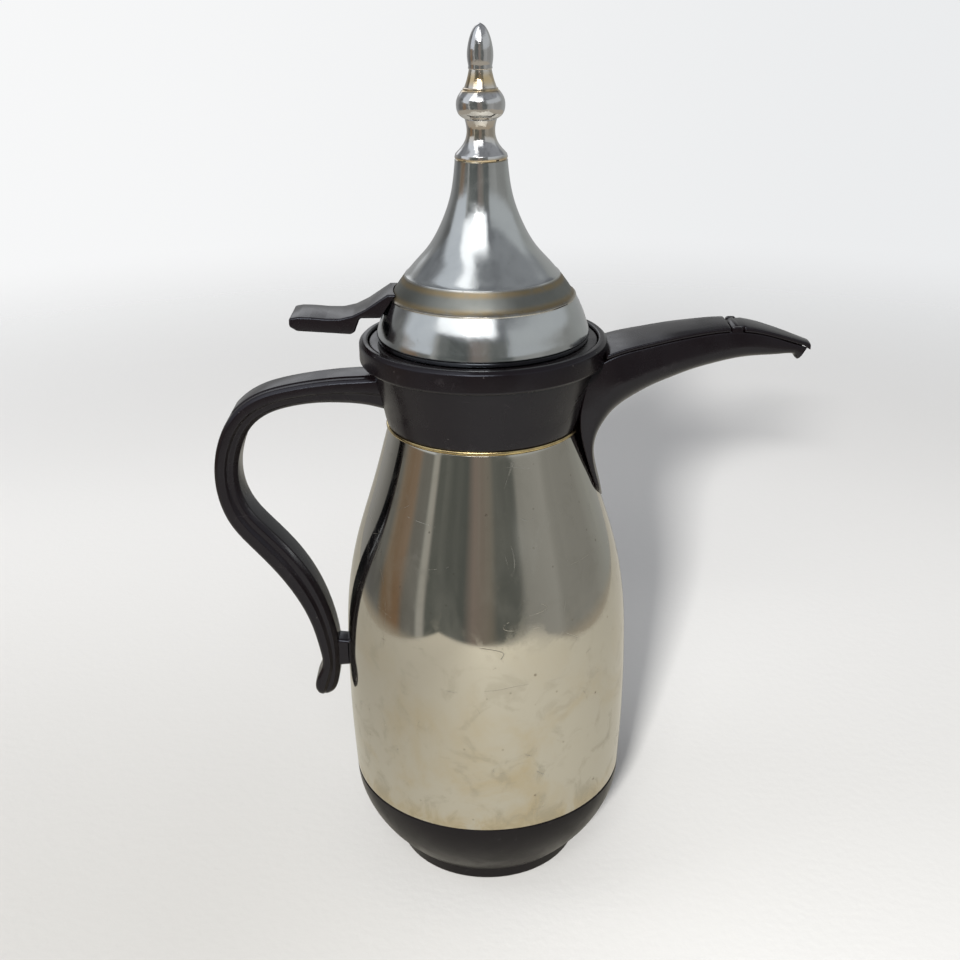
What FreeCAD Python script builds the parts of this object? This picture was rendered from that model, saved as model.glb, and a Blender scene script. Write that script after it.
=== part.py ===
import FreeCAD, Part
import math
import os

# Vacuum-flask dallah coffee pot. Millimetres, +Z up. The origin is the centre of the
# foot ring's underside. The spout points along +X and the handle along -X.

V = FreeCAD.Vector
AXIS = V(0, 0, 1)

# ---- driving dimensions ----
BODY_R = 59.0            # widest radius of the steel body
JOINT_R = 57.6           # radius where steel meets the base cup
JOINT_Z = 39.4
NECK_R = 38.2            # radius where steel meets the collar
NECK_Z = 195.6
STEEL = 0.9              # wall of the body shell

FOOT_R = 39.1
FOOT_INNER_R = 33.0
FOOT_H = 5.5
CUP_R = 40.0             # radius of the cup where it meets the foot ring
CUP_WALL = 2.4
CUP_ROUNDNESS = 1.9
CAP_R = 27.0             # screw cap under the liner

LINER_R = 54.0           # outer radius of the glass liner
LINER_NECK_R = 31.0
LINER_LIP_Z = 206.0
GLASS = 1.6
VACUUM = 2.4
LINER_CUTS = (46.0, 80.0, 112.0, 148.0, 188.0)     # heights where the inner bottle's lengths meet

RIM_R = 48.3
RIM_LOW_Z = 222.4
RIM_TOP_Z = 231.2
RIM_INNER_R = 44.9
LEDGE_Z = 223.8          # ledge that the stopper flange sits over
CHAMBER_Z = 212.0        # floor of the pouring chamber
WINDOW_HALF_W = 8.0      # opening from the chamber into the spout
WINDOW_Z = (213.5, 221.0)
PLUG_R = 24.8
SEAT_R = 13.0            # valve opening in the bottom of the plug
GAP = 0.3                # gap between pieces that move apart

DOME_WALL = 1.5
DOME_LOW_Z = 229.7
DOME_TOP_Z = 298.4
TIP_Z = 346.0

LEVER_W = 20.0
PIVOT_X = -30.5
PIVOT_Z = 243.5
LEVER_TRAVEL_DEG = 9.0
PIN_R = 1.5
STEM_R = 2.5
RUNNING_FIT = 0.06
NOSE_R = 1.8             # rounded end of the lever's fork, under the stem's head
DISC_Z = 194.3           # underside of the valve's disc
HEAD_Z = PIVOT_Z + NOSE_R + GAP

FLAP_PIVOT_X = 97.5
FLAP_PIVOT_Z = 233.3
FLAP_PIN_R = 1.0
KNUCKLE_R = 2.3
COVER_T = 2.2            # thickness of the spout's cover and flap
COVER_END_X = 94.8


# ---- helpers ----
def edge(points):
    """A straight edge for two (x, z) points, a smooth curve for more."""
    spots = [V(x, 0, z) for x, z in points]
    if len(spots) == 2:
        return Part.makeLine(*spots)
    curve = Part.BSplineCurve()
    curve.interpolate(spots)
    return curve.toShape()


def outline(*runs):
    """Closed wire in the XZ plane. Each run starts where the one before it ends."""
    edges = [edge(run) for run in runs]
    edges.append(edge([runs[-1][-1], runs[0][0]]))
    return Part.Wire(edges)


def corners(*points):
    """Straight runs through a list of (x, z) points."""
    return [[a, b] for a, b in zip(points, points[1:])]


def turned(*runs):
    """Solid of revolution about the pot's axis."""
    return Part.Face(outline(*runs)).revolve(V(0, 0, 0), AXIS, 360)


def slab(half_width, *runs):
    """Side outline in the XZ plane, extruded to both sides."""
    face = Part.Face(outline(*runs))
    face.translate(V(0, -half_width, 0))
    return face.extrude(V(0, 2 * half_width, 0))


def box(low, high):
    size = [b - a for a, b in zip(low, high)]
    return Part.makeBox(*size, V(*low))


def rod_y(radius, half_length, x, z):
    """Round bar across the pot."""
    return Part.makeCylinder(radius, 2 * half_length, V(x, -half_length, z), V(0, 1, 0))


def shifted(points, dr, dz=0.0):
    return [(r + dr, z + dz) for r, z in points]


def around(shape, count, first_deg=0.0):
    """Copies of a shape, evenly spaced about the pot's axis."""
    copies = []
    for i in range(count):
        copy = shape.copy()
        copy.rotate(V(0, 0, 0), AXIS, first_deg + 360.0 * i / count)
        copies.append(copy)
    return Part.makeCompound(copies)


def save(node, shape):
    shape.exportStep("parts/%s.step" % node)


# ---- outlines shared by several pieces, as (radius, height) ----
BODY_CURVE = [
    (JOINT_R, JOINT_Z), (58.8, 65.5), (BODY_R, 92.0), (58.0, 117.5),
    (53.6, 143.5), (45.6, 169.5), (NECK_R, NECK_Z),
]
LINER_SIDE = [
    (LINER_R, 112.0), (49.5, 143.0), (42.0, 166.0), (35.5, 180.0), (LINER_NECK_R, 190.0),
]
LINER_BOTTOM = [(0.0, 16.5), (30.0, 19.0), (47.0, 27.0), (LINER_R, 46.0)]
COLLAR_CURVE = [(38.4, 197.0), (39.1, 199.8), (40.1, 204.8), (41.9, 212.0), (44.6, RIM_LOW_Z)]
BOWL_CURVE = [
    (40.0, DOME_LOW_Z), (41.2, 232.6), (40.6, 235.6), (38.7, 241.2), (35.8, 247.4),
]
BAND_CURVE = [(35.0, 248.2), (32.8, 251.6), (30.2, 255.1)]
CONE_CURVE = [
    (29.0, 256.4), (26.0, 259.9), (21.3, 265.1), (15.8, 274.2),
    (11.5, 286.2), (9.9, 297.4),
]


def cup_radius(z):
    t = (z - FOOT_H) / (JOINT_Z - FOOT_H)
    return CUP_R + (JOINT_R - CUP_R) * (1 - (1 - t) ** CUP_ROUNDNESS)


def cup_curve(low_z, high_z, inset=0.0, steps=6):
    heights = [low_z + (high_z - low_z) * i / steps for i in range(steps + 1)]
    return [(cup_radius(z) - inset, z) for z in heights]


# ---- base ----
def foot_ring():
    chamfer = 0.6
    return turned(*corners(
        (FOOT_INNER_R, 0), (FOOT_R - chamfer, 0), (FOOT_R, chamfer),
        (CUP_R - 0.3, FOOT_H), (FOOT_INNER_R, FOOT_H)))


def base_cup():
    spigot_r = JOINT_R - STEEL - 0.1
    spigot_top = JOINT_Z + 6.0
    floor_top = FOOT_H + CUP_WALL
    inner = cup_curve(floor_top, JOINT_Z, CUP_WALL)[::-1]
    return turned(
        cup_curve(FOOT_H, JOINT_Z),
        *corners((JOINT_R, JOINT_Z), (spigot_r, JOINT_Z), (spigot_r, spigot_top),
                 (inner[0][0], spigot_top), inner[0]),
        inner,
        *corners(inner[-1], (CAP_R + 0.3, floor_top), (CAP_R + 0.3, FOOT_H)))


def bottom_cap():
    """Screw cap with a finger bar across its recess."""
    top = 11.0
    recess_r, recess_z = 22.0, 8.0
    cap = turned(*corners(
        (0, recess_z), (recess_r, recess_z), (recess_r, FOOT_H), (CAP_R, FOOT_H),
        (CAP_R, top), (0, top)))
    bar = box((-recess_r, -2.5, FOOT_H), (recess_r, 2.5, recess_z))
    return cap.fuse(bar).removeSplitter()


def liner_cushion():
    pad = turned(*corners((8, 11.0), (26, 11.0), (26, 21.0), (8, 21.0)))
    return pad.cut(liner_solid(0.0))


# ---- vacuum liner ----
def liner_solid(inset):
    """Filled shape of the liner, its walls moved in by inset."""
    bottom = shifted(LINER_BOTTOM, -inset, inset)
    bottom[0] = (0.0, LINER_BOTTOM[0][1] + inset)
    side = shifted(LINER_SIDE, -inset)
    neck_r = LINER_NECK_R - inset
    return turned(bottom, [bottom[-1], side[0]], side,
                  *corners(side[-1], (neck_r, LINER_LIP_Z), (0, LINER_LIP_Z)))


def glass_liner_outer():
    """Outer bottle with the seal-off tip left by the vacuum pump."""
    hollow = liner_solid(GLASS)
    tip = Part.makeCone(1.0, 4.0, 5.0, V(0, 0, 12.0))
    return liner_solid(0.0).fuse(tip).cut(hollow).removeSplitter()


def glass_liner_inner():
    """Inner bottle, flared at the lip to meet the outer one. It is built in lengths, bottom to lip."""
    outside = GLASS + VACUUM
    shell = liner_solid(outside).cut(liner_solid(outside + GLASS))
    inner_r, outer_r = LINER_NECK_R - outside - 0.5, LINER_NECK_R - GLASS
    lip = turned(*corners(
        (inner_r, LINER_LIP_Z - 2.0), (outer_r, LINER_LIP_Z - 2.0),
        (outer_r, LINER_LIP_Z), (inner_r, LINER_LIP_Z)))
    bottle = shell.fuse(lip).removeSplitter()
    heights = (0.0,) + LINER_CUTS + (LINER_LIP_Z + 1.0,)
    lengths = [bottle.common(box((-60, -60, low), (60, 60, high)))
               for low, high in zip(heights, heights[1:])]
    return Part.makeCompound(lengths)


def neck_gasket():
    inner_r = LINER_NECK_R - GLASS - VACUUM - GLASS
    top = CHAMBER_Z - 2.7
    return turned(*corners(
        (inner_r, LINER_LIP_Z), (LINER_NECK_R + 1.5, LINER_LIP_Z),
        (LINER_NECK_R + 1.5, top), (inner_r, top)))


# ---- body ----
def body_shell():
    inner = shifted(BODY_CURVE, -STEEL)[::-1]
    return turned(BODY_CURVE, [BODY_CURVE[-1], inner[0]], inner)


def neck_trim_ring():
    low, high = NECK_Z, NECK_Z + 1.4
    return turned(*corners((NECK_R - STEEL, low), (NECK_R + 0.2, low)),
                  [(NECK_R + 0.2, low), (NECK_R + 0.8, low + 0.7), (NECK_R + 0.2, high)],
                  [(NECK_R + 0.2, high), (NECK_R - STEEL, high)])


def collar_outside():
    """Outer outline of the collar, from its lower edge to the top of the rim."""
    return [
        COLLAR_CURVE,
        [COLLAR_CURVE[-1], (RIM_R - 0.8, RIM_LOW_Z)],
        [(RIM_R - 0.8, RIM_LOW_Z), (RIM_R, RIM_LOW_Z + 0.8)],
        [(RIM_R, RIM_LOW_Z + 0.8), (RIM_R, RIM_TOP_Z - 1.6)],
        [(RIM_R, RIM_TOP_Z - 1.6), (RIM_R - 0.5, RIM_TOP_Z - 0.5), (RIM_R - 1.6, RIM_TOP_Z)],
    ]


def collar_filled():
    """The collar with nothing cut out, used to trim what is fixed to it."""
    return turned(*collar_outside(),
                  *corners((RIM_R - 1.6, RIM_TOP_Z), (0, RIM_TOP_Z), (0, COLLAR_CURVE[0][1])))


def collar():
    skirt_r, skirt_z = 36.6, 188.0
    skirt_inner = LINER_NECK_R + 2.2
    shelf = CHAMBER_Z - 2.7
    ring = turned(
        *collar_outside(),
        *corners((RIM_R - 1.6, RIM_TOP_Z), (RIM_INNER_R, RIM_TOP_Z), (RIM_INNER_R, LEDGE_Z),
                 (41.6, LEDGE_Z), (38.8, CHAMBER_Z), (PLUG_R + 0.8, CHAMBER_Z),
                 (PLUG_R + 0.8, shelf), (skirt_inner, shelf), (skirt_inner, skirt_z),
                 (skirt_r, skirt_z), (skirt_r, COLLAR_CURVE[0][1])))
    window = box((30, -WINDOW_HALF_W, WINDOW_Z[0]), (60, WINDOW_HALF_W, WINDOW_Z[1]))
    return ring.cut(window).cut(spout_screws()).cut(handle_screws())


# ---- spout ----
# Stations along the spout: x, top height, half width, bottom height.
SPOUT_STATIONS = [
    (38, 224.4, 15.6, 196.0), (46, 226.8, 15.0, 196.5), (53, 229.0, 14.0, 203.0),
    (63, 231.2, 12.8, 209.8), (73, 233.2, 11.6, 214.3), (83, 234.7, 10.2, 218.0),
    (94, 235.7, 9.0, 220.8), (104, 234.9, 7.8, 222.2), (114, 232.2, 6.2, 222.6),
    (128, 227.2, 3.6, 222.4),
]
# Stations down the tail: height, outer x, half width.
TAIL_STATIONS = [
    (206, 53.0, 14.6), (200, 49.2, 14.4), (193, 45.6, 14.0), (187, 44.0, 13.4), (181, 44.3, 12.0),
    (175, 45.5, 10.4), (169, 47.0, 8.2), (164, 48.2, 4.0),
]
CHANNEL_STATIONS = [
    (36, 8.0, 213.5), (46, 8.4, 213.5), (60, 8.6, 213.7), (73, 8.4, 216.8), (83, 7.6, 220.4),
    (94, 6.7, 223.2), (104, 5.6, 224.6), (114, 4.2, 225.0), (130, 2.4, 224.6),
]


def trough_wire(x, top, half_width, bottom, side_share=0.5):
    """Spout section: flat top, short upright sides, round underside."""
    side = top - side_share * (top - bottom)
    a, b = V(x, -half_width, top), V(x, half_width, top)
    c, d = V(x, half_width, side), V(x, -half_width, side)
    return Part.Wire([
        Part.makeLine(a, b), Part.makeLine(b, c),
        Part.Arc(c, V(x, 0, bottom), d).toShape(), Part.makeLine(d, a)])


def spout_outside():
    return Part.makeLoft([trough_wire(*station) for station in SPOUT_STATIONS], True)


def spout_channel():
    above = 242.0
    wires = [trough_wire(x, above, half, floor, (above - floor - 3.0) / (above - floor))
             for x, half, floor in CHANNEL_STATIONS]
    return Part.makeLoft(wires, True)


def tail():
    wires = []
    for z, outer, half_width in TAIL_STATIONS:
        a, b = V(34, -half_width, z), V(34, half_width, z)
        c, d = V(outer - 3.0, half_width, z), V(outer - 3.0, -half_width, z)
        wires.append(Part.Wire([
            Part.makeLine(a, b), Part.makeLine(b, c),
            Part.Arc(c, V(outer, 0, z), d).toShape(), Part.makeLine(d, a)]))
    return Part.makeLoft(wires, True)


def body_filled():
    return turned(BODY_CURVE, *corners(BODY_CURVE[-1], (0, NECK_Z), (0, JOINT_Z)))


def top_line(drop, first_x):
    """Points along the spout's top, lowered by drop."""
    return [(x, top - drop) for x, top, _, _ in SPOUT_STATIONS if x >= first_x]


def above_line(drop):
    """Everything over the spout's top line when that is lowered by drop."""
    line = top_line(drop, 38)
    return slab(30, line, *corners(line[-1], (128, 250), (38, 250)))


def spout_body():
    root = COLLAR_CURVE[0][1]
    whole = spout_outside().fuse(tail())
    lip = slab(2.6, *corners(
        (119.5, 223.2), (122.4, 222.4), (123.4, 220.6), (126.3, 226.4), (122, 226)))
    whole = whole.fuse(lip).cut(above_line(COVER_T)).cut(spout_channel())
    beyond = slab(30, *corners((126.6, 230), (126.6, 227.2), (123.2, 220.4), (123.2, 200),
                               (140, 200), (140, 230)))
    whole = whole.cut(beyond).cut(body_filled()).cut(collar_filled())
    ring = turned(*corners((0, root - 3), (NECK_R + 0.9, root - 3), (NECK_R + 0.9, root), (0, root)))
    ears = ear_pair().cut(spout_channel())
    whole = whole.cut(ring).fuse(ears)
    pin_hole = rod_y(FLAP_PIN_R, 20, FLAP_PIVOT_X, FLAP_PIVOT_Z)
    sweep_room = rod_y(KNUCKLE_R + GAP, 6.4, FLAP_PIVOT_X, FLAP_PIVOT_Z)
    whole = whole.cut(pin_hole).cut(sweep_room).cut(spout_gasket()).cut(spout_screws())
    return whole.removeSplitter()


def ear_pair():
    """Cheeks either side of the flap's knuckle."""
    ear_r = KNUCKLE_R - 0.1
    disc = rod_y(ear_r, 8.4, FLAP_PIVOT_X, FLAP_PIVOT_Z)
    foot = box((FLAP_PIVOT_X - ear_r, -8.4, FLAP_PIVOT_Z - 4), (FLAP_PIVOT_X + ear_r, 8.4, FLAP_PIVOT_Z))
    gap = box((90, -6.4, 220), (110, 6.4, 240))
    return disc.fuse(foot).cut(gap)


def spout_cover():
    band = spout_outside().common(above_line(COVER_T - 0.2))
    keep = box((30, -30, 200), (COVER_END_X, 30, 250))
    rim = turned(*corners((0, 200), (RIM_R, 200), (RIM_R, 240), (0, 240)))
    return band.common(keep).cut(rim)


def spout_flap():
    plate_x = FLAP_PIVOT_X + KNUCKLE_R + 0.6
    band = spout_outside().common(above_line(COVER_T - 0.2))
    plate = band.common(box((plate_x, -30, 200), (140, 30, 250)))
    nose = spout_outside().common(box((126.7, -30, 224.8), (140, 30, 250)))
    knuckle = rod_y(KNUCKLE_R, 6.1, FLAP_PIVOT_X, FLAP_PIVOT_Z)
    bridge = box((FLAP_PIVOT_X, -6.1, FLAP_PIVOT_Z + 0.2),
                 (plate_x + 1.0, 6.1, FLAP_PIVOT_Z + KNUCKLE_R - 0.2))
    bore = rod_y(FLAP_PIN_R + RUNNING_FIT, 20, FLAP_PIVOT_X, FLAP_PIVOT_Z)
    return plate.fuse(nose).fuse(knuckle).fuse(bridge).cut(bore).removeSplitter()


def flap_pin():
    return rod_y(FLAP_PIN_R, 8.3, FLAP_PIVOT_X, FLAP_PIVOT_Z)


def spout_gasket():
    """Frame of rubber round the window, on the collar's outside."""
    thick = 0.8
    low, high = COLLAR_CURVE[3][1] - 0.4, RIM_LOW_Z - 0.2
    outer = turned(shifted(COLLAR_CURVE, thick),
                   *corners((COLLAR_CURVE[-1][0] + thick, RIM_LOW_Z), (0, RIM_LOW_Z), (0, 197.0)))
    frame = box((30, -WINDOW_HALF_W - 2.2, low), (60, WINDOW_HALF_W + 2.2, high))
    window = box((30, -WINDOW_HALF_W, WINDOW_Z[0]), (60, WINDOW_HALF_W, WINDOW_Z[1]))
    return outer.common(frame).cut(window).cut(collar_filled())


def screw_x(y, z, seat_x, tip_x, shank_r=1.4, head_r=2.6, head_h=1.8):
    """Screw along X, its head at seat_x and its tip at tip_x."""
    way = 1 if tip_x > seat_x else -1
    shank = Part.makeCylinder(shank_r, abs(tip_x - seat_x), V(seat_x, y, z), V(way, 0, 0))
    head = Part.makeCylinder(head_r, head_h, V(seat_x, y, z), V(-way, 0, 0))
    return head.fuse(shank)


def spout_screws():
    return Part.makeCompound([screw_x(y, 217.0, 39.4, 51.0, 1.2) for y in (-12.0, 12.0)])


def handle_screws():
    return Part.makeCompound([screw_x(y, 213.2, -39.2, -54.0, 1.2, 2.2, 1.6) for y in (-5.0, 5.0)])


# ---- handle ----
# Stations along the handle: centre x, centre z, half thickness, half width.
HANDLE_STATIONS = [
    (-36, 210.0, 7.2, 9.4), (-44, 210.6, 6.1, 9.4), (-54, 211.0, 5.2, 9.2), (-66, 210.4, 4.6, 9.0),
    (-78, 208.5, 4.4, 9.0), (-87.6, 205.3, 4.5, 9.0), (-95.6, 199.2, 4.6, 9.0),
    (-100.8, 190.3, 4.7, 9.0), (-103.5, 180.0, 4.7, 9.0), (-103.3, 168.6, 4.8, 9.0),
    (-99.4, 157.4, 5.2, 9.0), (-91.5, 147.0, 5.5, 8.8), (-82.8, 136.3, 5.6, 8.6),
    (-75.0, 123.4, 5.3, 8.2), (-69.5, 108.9, 4.7, 7.8), (-66.9, 95.1, 4.2, 7.4),
    (-66.8, 86.0, 3.9, 7.2), (-69.2, 77.5, 4.7, 7.0), (-71.0, 71.3, 3.4, 6.6),
]


def handle_section(x, z, thick, width, direction):
    """Twelve-sided section: a broad outer rib stepped over a narrower inner one."""
    outward = V(-direction.z, 0, direction.x)
    half = [
        (width - 1.8, thick), (width, thick - 1.6), (width, thick * 0.05),
        (width - 1.3, -thick * 0.15), (width - 1.3, 2.0 - thick), (width - 3.2, -thick),
    ]
    ring = half + [(-w, t) for w, t in reversed(half)]
    centre = V(x, 0, z)
    points = [centre + V(0, w, 0) + outward * t for w, t in ring]
    return Part.makePolygon(points + [points[0]])


def handle():
    places = [V(x, 0, z) for x, z, _, _ in HANDLE_STATIONS]
    wires = []
    for i, (x, z, thick, width) in enumerate(HANDLE_STATIONS):
        ahead = places[min(i + 1, len(places) - 1)]
        behind = places[max(i - 1, 0)]
        direction = (behind - ahead).normalize()
        wires.append(handle_section(x, z, thick, width, direction))
    grip = Part.makeLoft(wires, True)
    nub = box((-68, -4.5, 85.0), (-50, 4.5, 98.5))
    solid = grip.fuse(nub).cut(collar_filled()).cut(body_filled())
    return solid.cut(handle_screws()).removeSplitter()


# ---- lid: stopper ----
def stopper_body():
    bottom, top = 190.0, LEDGE_Z + GAP
    plug = turned(*corners(
        (SEAT_R, bottom), (PLUG_R, bottom), (PLUG_R, 214.0), (30.0, 214.0), (30.0, 216.0),
        (27.0, 216.0), (27.0, top), (STEM_R + RUNNING_FIT, top), (STEM_R + RUNNING_FIT, top - 2.5),
        (22.4, top - 2.5), (22.4, bottom + 2.5), (SEAT_R, bottom + 2.5)))
    window = box((20, -6.5, 216.4), (29, 6.5, top - 2.6))
    return plug.cut(around(window, 4)).cut(lid_screws())


def stopper_seal():
    return turned(*corners(
        (PLUG_R + 0.1, CHAMBER_Z + GAP), (30.0, CHAMBER_Z + GAP), (30.0, 214.0), (PLUG_R + 0.1, 214.0)))


def stopper_flange():
    """Ring that closes the pouring chamber and carries the dome."""
    low = LEDGE_Z + GAP
    plate_top = low + 2.5
    ring_top = 230.3
    ring = turned(*corners(
        (10.0, low), (RIM_INNER_R - GAP, low), (RIM_INNER_R - GAP, ring_top - 0.8),
        (RIM_INNER_R - GAP - 0.8, ring_top), (40.4, ring_top), (40.4, DOME_LOW_Z),
        (38.4, DOME_LOW_Z), (38.4, 232.4), (36.8, 232.4), (36.8, plate_top), (10.0, plate_top)))
    return ring.cut(lid_screws())


def lid_screws():
    plate_top = LEDGE_Z + GAP + 2.5
    shank = Part.makeCylinder(1.3, 9.0, V(24.7, 0, plate_top - 9.0))
    head = Part.makeCylinder(2.5, 1.8, V(24.7, 0, plate_top))
    return around(shank.fuse(head), 4, 45.0)


# ---- lid: dome and finial ----
def dome_filled(grow=0.0):
    """The dome's outer shape, filled."""
    bowl, band, cone = [shifted(c, grow) for c in (BOWL_CURVE, BAND_CURVE, CONE_CURVE)]
    return turned(
        bowl, [bowl[-1], band[0]], band, [band[-1], cone[0]], cone,
        *corners(cone[-1], (cone[-1][0], DOME_TOP_Z), (0, DOME_TOP_Z), (0, DOME_LOW_Z)))


def lid_dome():
    bowl, band, cone = [shifted(c, -DOME_WALL, -0.6) for c in (BOWL_CURVE, BAND_CURVE, CONE_CURVE)]
    inside = turned(
        bowl, [bowl[-1], band[0]], band, [band[-1], cone[0]], cone,
        *corners(cone[-1], (0, cone[-1][1]), (0, bowl[0][1])))
    slot = box((-50, -6.2, 239.4), (-26, 6.2, 248.6))
    stud_hole = Part.makeCylinder(3.0, 10, V(0, 0, DOME_TOP_Z - 5))
    return dome_filled().cut(inside).cut(slot).cut(stud_hole)


def finial():
    base, neck_top = DOME_TOP_Z, 312.8
    return turned(
        [(3.0, base), (9.6, base)],
        [(9.6, base), (9.9, base + 0.9), (9.4, base + 2.2)],
        [(9.4, base + 2.2), (7.9, base + 3.8), (6.1, 304.8), (5.3, 307.6), (5.7, 311.2)],
        *corners((5.7, 311.2), (6.2, 311.6), (6.2, neck_top), (5.9, 313.2)),
        [(5.9, 313.2), (8.2, 315.6), (9.0, 318.6), (8.3, 322.1), (6.0, 325.4)],
        [(6.0, 325.4), (4.9, 327.8), (4.1, 330.6)],
        [(4.1, 330.6), (4.6, 334.6), (4.2, 339.2), (2.9, 343.0), (0.0, TIP_Z)],
        *corners((0.0, TIP_Z), (0.0, base - 10), (3.0, base - 10)))


def finial_nut():
    low = DOME_TOP_Z - 6.0
    across = 4.8
    points = [V(across * math.cos(math.radians(60 * i)), across * math.sin(math.radians(60 * i)), low)
              for i in range(7)]
    nut = Part.Face(Part.makePolygon(points)).extrude(V(0, 0, 3.6))
    return nut.cut(Part.makeCylinder(3.0, 10, V(0, 0, low - 2)))


# ---- lid: lever and valve ----
def lever_side():
    """Side outline of the lever's thumb end."""
    top = [(-73.9, 241.1), (-68.5, 241.7), (-60.0, 240.9), (-51.5, 241.5),
           (-44.5, 244.2), (-36.0, 250.0)]
    return [
        top, *corners(top[-1], (-30.0, 250.0), (-30.0, 240.9), (-47.0, 240.9), (-49.2, 234.9),
                      (-50.2, 234.6), (-71.2, 236.1), (-73.9, 238.0))]


def thumb_lever():
    pad = slab(LEVER_W / 2, *lever_side())
    for turn in (0.0, LEVER_TRAVEL_DEG / 2, LEVER_TRAVEL_DEG):
        room = dome_filled(0.5)
        room.rotate(V(PIVOT_X, 0, PIVOT_Z), V(0, 1, 0), turn)
        pad = pad.cut(room)
    neck = slab(5.0, *corners((-44.0, 241.4), (-44.0, 244.0), (-38.0, 247.0), (PIVOT_X, 246.5),
                              (PIVOT_X, 241.0)))
    hub = rod_y(3.2, 6.3, PIVOT_X, PIVOT_Z)
    arms = slab(5.8, *corners((PIVOT_X, 241.8), (PIVOT_X, 245.2), (0.0, 244.6), (0.0, 242.4)))
    nose = rod_y(NOSE_R, 5.8, 0.0, PIVOT_Z)
    stem_gap = box((-26, -3.4, 235), (6, 3.4, 250))
    fork = arms.fuse(nose).cut(stem_gap)
    bore = rod_y(PIN_R + RUNNING_FIT, 20, PIVOT_X, PIVOT_Z)
    return pad.fuse(neck).fuse(hub).fuse(fork).cut(bore).removeSplitter()


def lever_bracket():
    """Saddle on the flange with two ears for the lever's pin."""
    base_z = LEDGE_Z + GAP + 2.5
    saddle = box((PIVOT_X - 3.0, -8.8, base_z), (PIVOT_X + 8.0, 8.8, base_z + 2.5))
    ears = slab(8.8, *corners((PIVOT_X - 3.0, base_z), (PIVOT_X + 8.0, base_z),
                              (PIVOT_X + 3.0, PIVOT_Z), (PIVOT_X - 3.0, PIVOT_Z)))
    ears = ears.fuse(rod_y(3.0, 8.8, PIVOT_X, PIVOT_Z))
    middle = box((-60, -6.7, base_z + 2.5), (0, 6.7, 260))
    solid = ears.cut(middle).fuse(saddle)
    return solid.cut(rod_y(PIN_R, 20, PIVOT_X, PIVOT_Z)).removeSplitter()


def lever_pin():
    return rod_y(PIN_R, 8.8, PIVOT_X, PIVOT_Z)


def valve_stem():
    return turned(*corners(
        (0, DISC_Z), (17.0, DISC_Z), (17.0, DISC_Z + 1.6), (4.0, DISC_Z + 2.4), (STEM_R, DISC_Z + 2.4),
        (STEM_R, HEAD_Z), (6.0, HEAD_Z), (6.0, HEAD_Z + 1.8), (0, HEAD_Z + 1.8)))


def valve_seal():
    seat_top = 192.5
    return turned(*corners(
        (10.0, seat_top + GAP), (16.4, seat_top + GAP), (16.4, DISC_Z), (10.0, DISC_Z)))


def valve_spring():
    """Round wire wound on a helix; its section is an octagon."""
    radius, wire_r, turns, sides = 7.0, 0.5, 6, 8
    low, high = DISC_Z + 2.6 + wire_r, 221.0 - wire_r
    helix = Part.makeHelix((high - low) / turns, high - low, radius)
    helix.translate(V(0, 0, low))
    ring = [V(radius + wire_r * math.cos(math.tau * i / sides), 0,
              low + wire_r * math.sin(math.tau * i / sides)) for i in range(sides + 1)]
    return Part.Wire(helix).makePipeShell([Part.makePolygon(ring)], True, True)


PIECES = [
    foot_ring, base_cup, bottom_cap, liner_cushion, glass_liner_outer, glass_liner_inner,
    neck_gasket, body_shell, neck_trim_ring, collar, spout_body, spout_gasket, spout_screws,
    spout_cover, flap_pin, spout_flap, handle, handle_screws, stopper_body, stopper_seal,
    stopper_flange, lid_screws, lid_dome, finial, finial_nut, lever_bracket, lever_pin,
    thumb_lever, valve_stem, valve_seal, valve_spring,
]

os.makedirs("parts", exist_ok=True)
for piece in PIECES:
    solid = piece()
    print("%-20s %2d solid(s) %9.1f mm3 valid %s" % (
        piece.__name__, len(solid.Solids), solid.Volume, solid.isValid()))
    save(piece.__name__, solid)
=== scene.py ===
import math

import bmesh
import bpy
from mathutils import Matrix, Vector


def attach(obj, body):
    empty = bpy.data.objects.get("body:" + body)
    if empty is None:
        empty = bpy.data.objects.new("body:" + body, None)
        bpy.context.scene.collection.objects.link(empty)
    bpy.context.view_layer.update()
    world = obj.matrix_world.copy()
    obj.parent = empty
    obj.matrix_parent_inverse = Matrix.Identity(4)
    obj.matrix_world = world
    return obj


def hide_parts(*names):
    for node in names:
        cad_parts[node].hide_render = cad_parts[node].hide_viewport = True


# Looks of the vacuum-flask dallah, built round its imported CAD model. Lengths in the shape
# tables are millimetres in the row frame; MM turns them into metres. Lengths in the materials,
# the studio and the camera are metres. The front is -Y, the spout points to +X.

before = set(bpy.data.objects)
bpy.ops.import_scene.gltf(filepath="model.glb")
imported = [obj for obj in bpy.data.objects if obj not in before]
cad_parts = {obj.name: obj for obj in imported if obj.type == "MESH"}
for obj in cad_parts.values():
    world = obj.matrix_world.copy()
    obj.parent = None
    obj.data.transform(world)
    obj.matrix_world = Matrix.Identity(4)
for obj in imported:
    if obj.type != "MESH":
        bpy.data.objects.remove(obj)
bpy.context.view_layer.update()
MM = 0.001
scene = bpy.context.scene


# ---------------------------------------------------------------- curves in the plane
def natural_bends(ts, ys):
    """Second derivatives of the natural cubic spline through (ts, ys)."""
    n = len(ts)
    bends, slopes, ratios = [0.0] * n, [0.0] * n, [0.0] * n
    for i in range(1, n - 1):
        before, after = ts[i] - ts[i - 1], ts[i + 1] - ts[i]
        pull = 6 * ((ys[i + 1] - ys[i]) / after - (ys[i] - ys[i - 1]) / before)
        weight = 2 * (before + after) - before * ratios[i - 1]
        ratios[i] = after / weight
        slopes[i] = (pull - before * slopes[i - 1]) / weight
    for i in range(n - 2, 0, -1):
        bends[i] = slopes[i] - ratios[i] * bends[i + 1]
    return bends


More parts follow.
